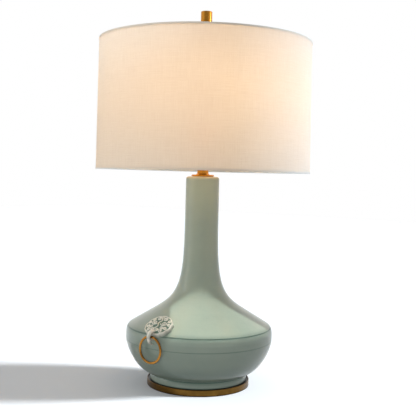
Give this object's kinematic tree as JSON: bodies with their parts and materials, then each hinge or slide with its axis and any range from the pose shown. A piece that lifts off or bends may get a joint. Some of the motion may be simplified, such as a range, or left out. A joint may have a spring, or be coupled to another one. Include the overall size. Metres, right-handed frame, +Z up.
{
  "type": "table lamp",
  "caption": "Table lamp with a celadon-glazed bottle vase, mask-and-ring handles, brass ring foot, linen drum shade on a harp, and a brass cylinder finial.",
  "frame": {"origin": "on the floor under the lamp's axis, at the bottom centre of its bounding box", "axes": "+Z up along the lamp's axis; the two ring handles lie on -X and +X; the cord inlet is at the back on +Y and the switch faces -Y"},
  "size_m": [0.4063, 0.4064, 0.7102],
  "materials": {
    "felt": "matt pressed felt",
    "board": "pressed board",
    "antique_brass": "brushed and antiqued",
    "cork": "cork and rubber sheet",
    "bakelite": "dark moulded",
    "celadon": "clear crackle-free celadon glaze",
    "celadon_relief": "celadon glaze, thin on the ridges",
    "ring_brass": "satin",
    "plain_brass": "satin",
    "finial_brass": "polished, amber tone",
    "zinc_steel": "zinc plated",
    "liner_card": "dark insulating card",
    "solder": "bright",
    "black_glass": "glossy",
    "bulb_glass": "clear",
    "filament": "yellow phosphor",
    "shade_linen": "fine plain-weave linen",
    "shade_lining": "stiff translucent lining",
    "shade_trim": "narrow woven tape"
  },
  "bodies": {
    "base": {"felt_pad": "felt", "bottom_plate": "board", "base_ring": "antique_brass", "foot_gasket": "cork", "cord_bushing": "bakelite", "vase_body": "celadon", "mask_left": "celadon_relief", "mask_right": "celadon_relief", "pipe_nut": "plain_brass", "pipe_washer": "zinc_steel", "lamp_pipe": "zinc_steel", "neck_seat": "cork", "check_ring": "antique_brass", "neck_tube": "finial_brass", "top_locknut": "plain_brass", "harp_saddle": "plain_brass", "socket_cap": "finial_brass", "socket_shell": "finial_brass", "socket_liner": "liner_card", "socket_body": "bakelite", "screw_shell": "plain_brass", "centre_contact": "plain_brass", "terminal_screws": "plain_brass"},
    "ring_left": {"ring_left": "ring_brass"},
    "ring_right": {"ring_right": "ring_brass"},
    "switch": {"switch_shaft": "zinc_steel", "switch_knob": "bakelite"},
    "bulb": {"bulb_contact": "solder", "bulb_insulator": "black_glass", "bulb_base": "solder", "bulb_globe": "bulb_glass", "bulb_stem": "bulb_glass", "bulb_filaments": "filament"},
    "harp": {"harp_wire": "plain_brass", "harp_stud": "plain_brass"},
    "ferrule_left": {"ferrule_left": "plain_brass"},
    "ferrule_right": {"ferrule_right": "plain_brass"},
    "shade": {"shade_fabric": "shade_linen", "shade_lining": "shade_lining", "shade_bottom_trim": "shade_trim", "shade_top_trim": "shade_trim", "shade_top_ring": "zinc_steel", "shade_bottom_ring": "zinc_steel", "spider_hub": "plain_brass", "spider_arms": "zinc_steel"},
    "finial": {"finial_seat": "finial_brass", "finial_body": "finial_brass"}
  },
  "joints": [
    {"name": "ring_left_swing", "type": "hinge", "parent": "base", "child": "ring_left", "pos_m": [-0.146, 0, 0.1124], "axis": [0, 1, 0], "range_deg": [-8, 165]},
    {"name": "ring_right_swing", "type": "hinge", "parent": "base", "child": "ring_right", "pos_m": [0.146, 0, 0.1124], "axis": [0, -1, 0], "range_deg": [-8, 165]},
    {"name": "switch_turn", "type": "hinge", "parent": "base", "child": "switch", "pos_m": [0, -0.0194, 0.4637], "axis": [0, -1, 0], "continuous": true},
    {"name": "bulb_turn", "type": "hinge", "parent": "base", "child": "bulb", "pos_m": [0, 0, 0.49], "axis": [0, 0, 1], "continuous": true},
    {"name": "harp_lift", "type": "slide", "parent": "base", "child": "harp", "axis": [0, 0, 1], "range_m": [0, 0.01]},
    {"name": "ferrule_left_slide", "type": "slide", "parent": "harp", "child": "ferrule_left", "axis": [0, 0, 1], "range_m": [0, 0.015]},
    {"name": "ferrule_right_slide", "type": "slide", "parent": "harp", "child": "ferrule_right", "axis": [0, 0, 1], "range_m": [0, 0.015]},
    {"name": "shade_turn", "type": "hinge", "parent": "harp", "child": "shade", "pos_m": [0, 0, 0.643], "axis": [0, 0, 1], "continuous": true},
    {"name": "finial_turn", "type": "hinge", "parent": "harp", "child": "finial", "pos_m": [0, 0, 0.655], "axis": [0, 0, 1], "continuous": true}
  ]
}
